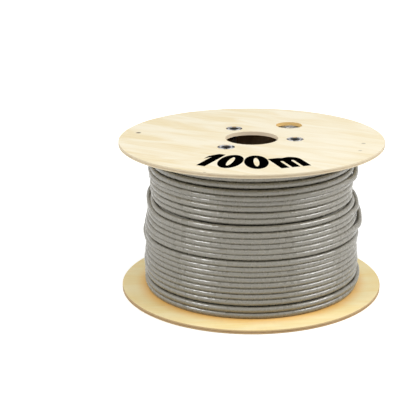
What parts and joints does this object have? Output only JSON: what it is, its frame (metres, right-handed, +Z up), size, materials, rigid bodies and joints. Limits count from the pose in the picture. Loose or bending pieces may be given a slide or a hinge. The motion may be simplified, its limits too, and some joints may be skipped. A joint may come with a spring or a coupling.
{
  "type": "cable reel",
  "caption": "Round plywood cable reel with a cardboard barrel and tee-nut tie bolts, full of grey shielded network cable, its outer end stapled down and stripped.",
  "frame": {"origin": "centre of the underside of the lower flange, on the reel's axis", "axes": "+Z up the reel's axis; -Y is the front; the drive holes are at +X +Y and the cable's outer end lies at +Y"},
  "size_m": [0.28, 0.28, 0.1631],
  "materials": {
    "plywood": "sanded poplar plywood, bare",
    "cardboard": "spiral wound kraft board",
    "zinc_steel": "bright zinc plated steel",
    "jacket": "satin extruded PVC",
    "braid": "tinned copper wire, combed out",
    "foil": "crinkled aluminium foil on film",
    "insulation_blue": "extruded polyethylene",
    "insulation_orange": "extruded polyethylene",
    "insulation_green": "extruded polyethylene",
    "insulation_brown": "extruded polyethylene",
    "insulation_white": "extruded polyethylene",
    "insulation_pink": "extruded polyethylene",
    "copper": "bright drawn copper",
    "ink": "matt black stencil ink"
  },
  "bodies": {
    "root": {"upper_flange": "plywood", "lower_flange": "plywood", "barrel_tube": "cardboard", "tie_bolt_1": "zinc_steel", "tie_bolt_2": "zinc_steel", "tie_bolt_3": "zinc_steel", "tee_nut_1": "zinc_steel", "tee_nut_2": "zinc_steel", "tee_nut_3": "zinc_steel", "cable_winding": "jacket", "cable_tail": "jacket", "staple_1": "zinc_steel", "staple_2": "zinc_steel", "cable_braid": "braid", "foil_blue": "foil", "foil_orange": "foil", "foil_green": "foil", "foil_brown": "foil", "wire_blue": "insulation_blue", "wire_blue_mate": "insulation_white", "wire_orange": "insulation_orange", "wire_orange_mate": "insulation_white", "wire_green": "insulation_green", "wire_green_mate": "insulation_pink", "wire_brown": "insulation_brown", "wire_brown_mate": "insulation_white", "core_blue": "copper", "core_blue_mate": "copper", "core_orange": "copper", "core_orange_mate": "copper", "core_green": "copper", "core_green_mate": "copper", "core_brown": "copper", "core_brown_mate": "copper"}
  },
  "joints": []
}
